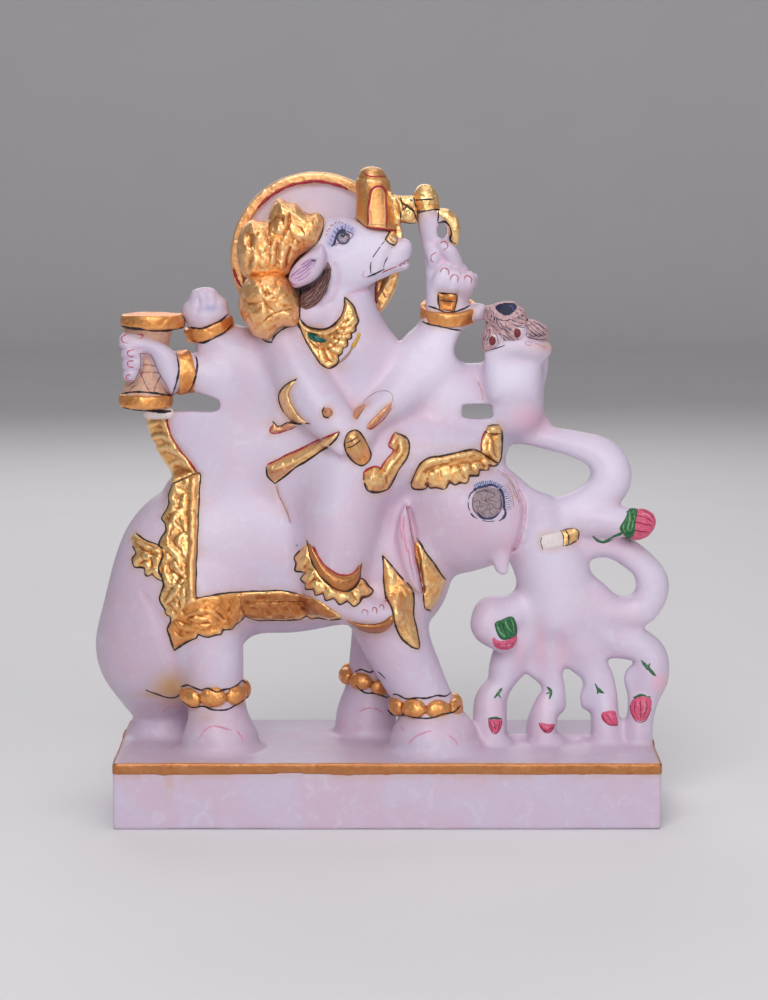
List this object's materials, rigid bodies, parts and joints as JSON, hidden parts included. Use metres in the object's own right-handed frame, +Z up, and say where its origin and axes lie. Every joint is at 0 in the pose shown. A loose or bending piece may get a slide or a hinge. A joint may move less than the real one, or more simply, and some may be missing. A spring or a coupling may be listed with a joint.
{
  "type": "carved stone idol of a boar-headed rider on an elephant",
  "caption": "Painted white marble murti: a boar-headed rider with a halo on a caparisoned elephant whose trunks fan out to the plinth it is carved with",
  "frame": {"origin": "centre of the plinth's underside", "axes": "+Z up, +X towards the elephant's front, -Y towards the viewer of the carved front"},
  "size_m": [0.2697, 0.096, 0.3005],
  "materials": {
    "marble": "satin",
    "gilding": "satin",
    "paint": "satin"
  },
  "bodies": {
    "root": {"manibhadra_idol": "marble"}
  },
  "joints": []
}
